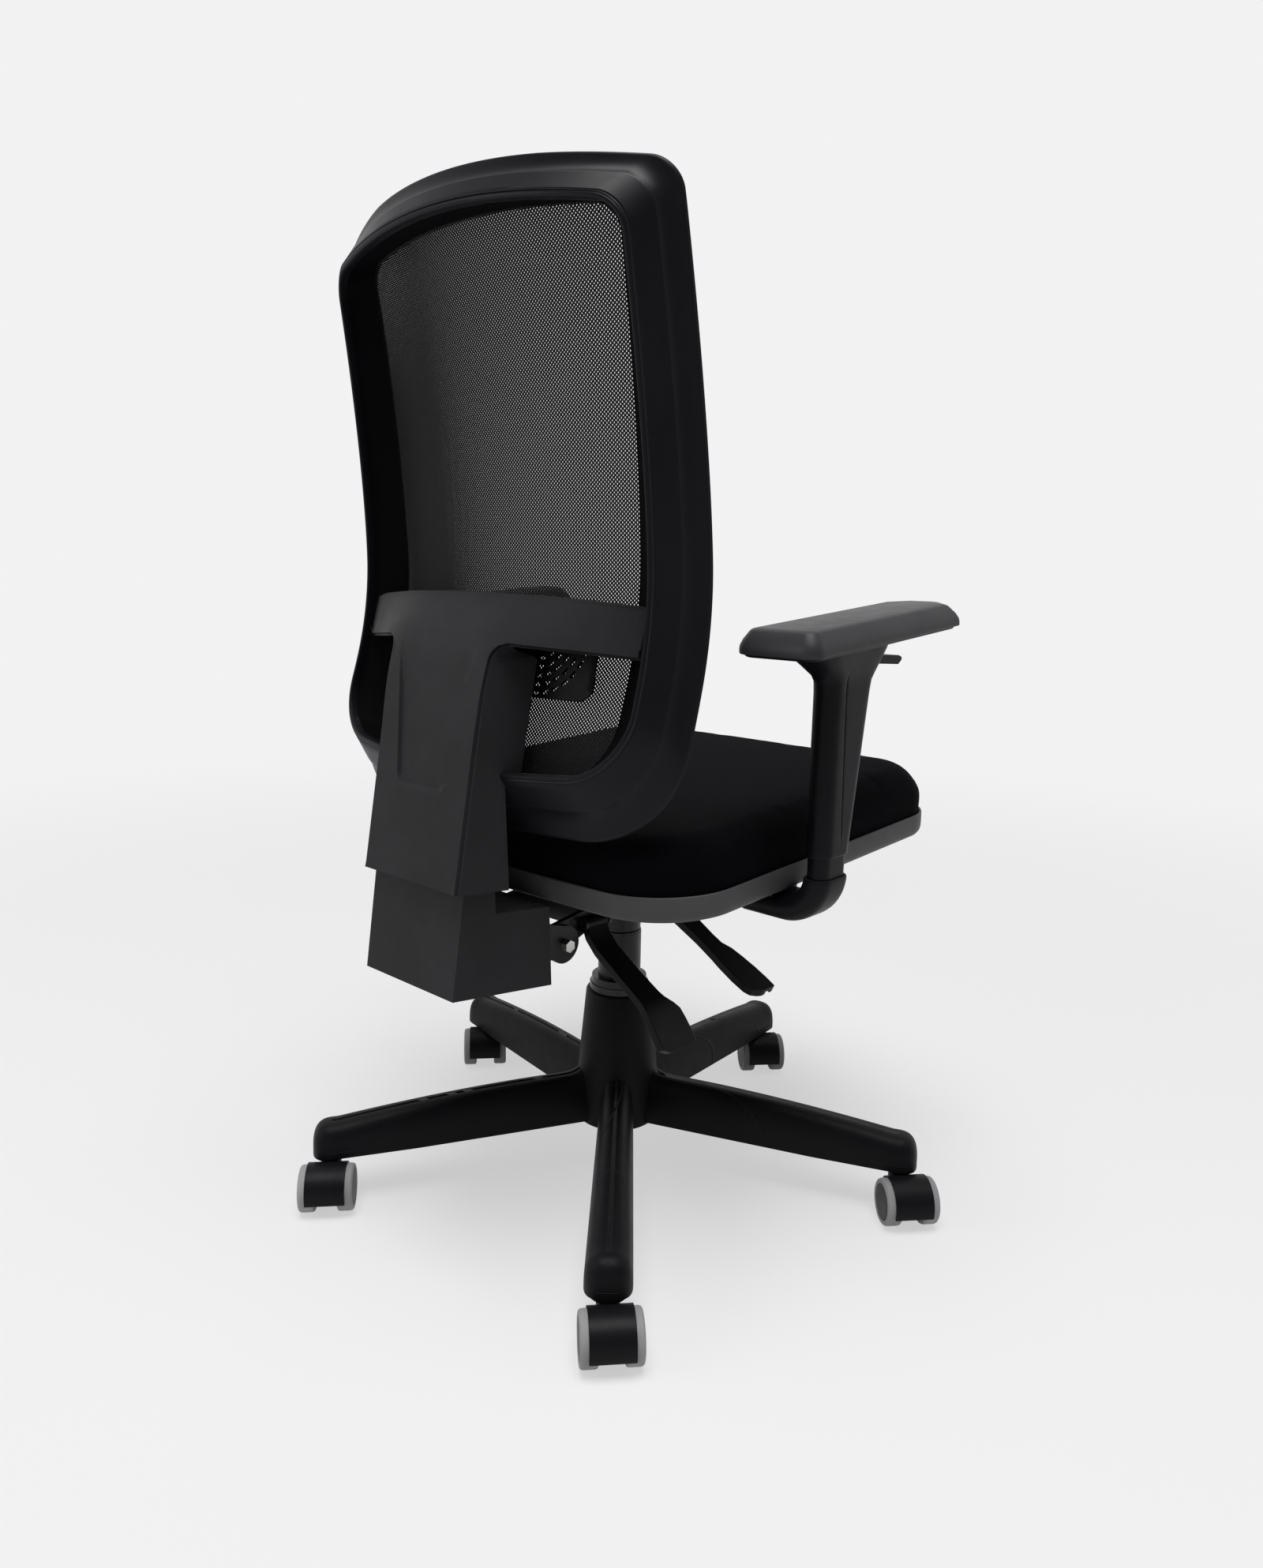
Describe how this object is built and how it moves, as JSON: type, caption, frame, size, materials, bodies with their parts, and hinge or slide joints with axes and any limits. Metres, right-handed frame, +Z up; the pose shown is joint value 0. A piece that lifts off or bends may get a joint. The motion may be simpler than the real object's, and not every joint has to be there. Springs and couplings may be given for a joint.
{
  "type": "swivel office chair",
  "caption": "Swivel office chair with a five-star caster base, gas column, reclining mesh back on a T-shaped spine, lumbar pad and height-adjustable arms.",
  "frame": {"origin": "on the floor under the column's axis", "axes": "+Z up along the column, the sitter faces -Y, +X is the sitter's left"},
  "size_m": [0.7115, 0.6985, 1.0395],
  "materials": {
    "arm_plastic": "fine texture",
    "base_plastic": "fine satin grain",
    "black_steel": "satin powder coat",
    "board": "plywood",
    "bright_steel": "ground",
    "bush": "smooth",
    "cover": "fine texture",
    "frame": "satin",
    "hood": "satin",
    "lumbar": "satin",
    "mesh": "open woven net",
    "pad": "soft-touch",
    "ring_plastic": "satin",
    "seat_fabric": "woven upholstery over foam",
    "shell": "fine texture",
    "tread": "matt, light grey",
    "wheel": "satin",
    "zinc": "zinc plated"
  },
  "bodies": {
    "base": {"star_base": "base_plastic", "hub_ring": "ring_plastic", "gas_tube": "black_steel", "column_bush": "bush", "caster_stems": "zinc"},
    "caster_1": {"caster_hood_1": "hood", "caster_axle_1": "zinc"},
    "wheels_1": {"caster_wheels_1": "wheel", "caster_treads_1": "tread"},
    "caster_2": {"caster_hood_2": "hood", "caster_axle_2": "zinc"},
    "wheels_2": {"caster_wheels_2": "wheel", "caster_treads_2": "tread"},
    "caster_3": {"caster_hood_3": "hood", "caster_axle_3": "zinc"},
    "wheels_3": {"caster_wheels_3": "wheel", "caster_treads_3": "tread"},
    "caster_4": {"caster_hood_4": "hood", "caster_axle_4": "zinc"},
    "wheels_4": {"caster_wheels_4": "wheel", "caster_treads_4": "tread"},
    "caster_5": {"caster_hood_5": "hood", "caster_axle_5": "zinc"},
    "wheels_5": {"caster_wheels_5": "wheel", "caster_treads_5": "tread"},
    "column": {"gas_rod": "bright_steel"},
    "seat": {"mechanism_housing": "black_steel", "lever_pins": "zinc", "recline_bolt": "zinc", "seat_shell": "shell", "seat_board": "board", "seat_cushion": "seat_fabric", "seat_bolts": "zinc", "arm_bolts": "zinc", "arm_bracket_l": "black_steel", "arm_bracket_r": "black_steel", "arm_elbow_l": "arm_plastic", "arm_elbow_r": "arm_plastic", "arm_post_l": "black_steel", "arm_post_r": "black_steel"},
    "height_lever": {"height_lever": "cover"},
    "recline_lever": {"recline_lever": "cover"},
    "back_carrier": {"back_bar": "black_steel", "lower_cover": "cover"},
    "back": {"upper_cover": "cover", "back_frame": "frame", "back_mesh": "mesh", "frame_screws": "zinc"},
    "lumbar": {"lumbar_pad": "lumbar"},
    "arm_l": {"arm_sleeve_l": "arm_plastic"},
    "trigger_l": {"arm_trigger_l": "arm_plastic"},
    "pad_l": {"arm_pad_base_l": "arm_plastic", "arm_pad_l": "pad"},
    "arm_r": {"arm_sleeve_r": "arm_plastic"},
    "trigger_r": {"arm_trigger_r": "arm_plastic"},
    "pad_r": {"arm_pad_base_r": "arm_plastic", "arm_pad_r": "pad"}
  },
  "joints": [
    {"name": "caster_swivel_1", "type": "hinge", "parent": "base", "child": "caster_1", "pos_m": [-0.22416, 0.24895, 0.05], "axis": [0, 0, 1], "continuous": true},
    {"name": "wheel_roll_1", "type": "hinge", "parent": "caster_1", "child": "wheels_1", "pos_m": [-0.2468, 0.26864, 0.025], "axis": [0.6561, 0.7547, 0], "continuous": true},
    {"name": "caster_swivel_2", "type": "hinge", "parent": "base", "child": "caster_2", "pos_m": [-0.30604, -0.13626, 0.05], "axis": [0, 0, 1], "continuous": true},
    {"name": "wheel_roll_2", "type": "hinge", "parent": "caster_2", "child": "wheels_2", "pos_m": [-0.32868, -0.11657, 0.025], "axis": [0.6561, 0.7547, 0], "continuous": true},
    {"name": "caster_swivel_3", "type": "hinge", "parent": "base", "child": "caster_3", "pos_m": [0.03502, -0.33316, 0.05], "axis": [0, 0, 1], "continuous": true},
    {"name": "wheel_roll_3", "type": "hinge", "parent": "caster_3", "child": "wheels_3", "pos_m": [0.01238, -0.31348, 0.025], "axis": [0.6561, 0.7547, 0], "continuous": true},
    {"name": "caster_swivel_4", "type": "hinge", "parent": "base", "child": "caster_4", "pos_m": [0.32768, -0.06965, 0.05], "axis": [0, 0, 1], "continuous": true},
    {"name": "wheel_roll_4", "type": "hinge", "parent": "caster_4", "child": "wheels_4", "pos_m": [0.30504, -0.04997, 0.025], "axis": [0.6561, 0.7547, 0], "continuous": true},
    {"name": "caster_swivel_5", "type": "hinge", "parent": "base", "child": "caster_5", "pos_m": [0.1675, 0.29012, 0.05], "axis": [0, 0, 1], "continuous": true},
    {"name": "wheel_roll_5", "type": "hinge", "parent": "caster_5", "child": "wheels_5", "pos_m": [0.14486, 0.3098, 0.025], "axis": [0.6561, 0.7547, 0], "continuous": true},
    {"name": "seat_lift", "type": "slide", "parent": "base", "child": "column", "axis": [0, 0, 1], "range_m": [0, 0.1]},
    {"name": "seat_swivel", "type": "hinge", "parent": "column", "child": "seat", "pos_m": [0, 0, 0.32], "axis": [0, 0, 1], "continuous": true},
    {"name": "height_lever_lift", "type": "hinge", "parent": "seat", "child": "height_lever", "pos_m": [-0.061, 0, 0.333], "axis": [0, 1, 0], "range_deg": [0, 12], "stiffness_Nm_per_rad": 1.5, "springref_deg": -5.73},
    {"name": "recline_lever_lift", "type": "hinge", "parent": "seat", "child": "recline_lever", "pos_m": [-0.061, 0.105, 0.333], "axis": [0, 1, 0], "range_deg": [0, 12]},
    {"name": "back_recline", "type": "hinge", "parent": "seat", "child": "back_carrier", "pos_m": [0, 0.15, 0.318], "axis": [-1, 0, 0], "range_deg": [0, 20]},
    {"name": "back_height", "type": "slide", "parent": "back_carrier", "child": "back", "axis": [0, -0.1392, 0.9903], "range_m": [0, 0.06]},
    {"name": "lumbar_height", "type": "slide", "parent": "back", "child": "lumbar", "axis": [0, -0.1392, 0.9903], "range_m": [-0.015, 0.02]},
    {"name": "arm_height_l", "type": "slide", "parent": "seat", "child": "arm_l", "axis": [0, 0, 1], "range_m": [0, 0.07]},
    {"name": "arm_trigger_lift_l", "type": "hinge", "parent": "arm_l", "child": "trigger_l", "pos_m": [0.28, -0.035, 0.619], "axis": [-1, 0, 0], "range_deg": [0, 12], "stiffness_Nm_per_rad": 0.3, "springref_deg": -5.73},
    {"name": "arm_pad_slide_l", "type": "slide", "parent": "arm_l", "child": "pad_l", "axis": [0, -0.996, 0.0889], "range_m": [-0.02, 0.02]},
    {"name": "arm_height_r", "type": "slide", "parent": "seat", "child": "arm_r", "axis": [0, 0, 1], "range_m": [0, 0.07]},
    {"name": "arm_trigger_lift_r", "type": "hinge", "parent": "arm_r", "child": "trigger_r", "pos_m": [-0.28, -0.035, 0.619], "axis": [-1, 0, 0], "range_deg": [0, 12], "stiffness_Nm_per_rad": 0.3, "springref_deg": -5.73},
    {"name": "arm_pad_slide_r", "type": "slide", "parent": "arm_r", "child": "pad_r", "axis": [0, -0.996, 0.0889], "range_m": [-0.02, 0.02]}
  ]
}
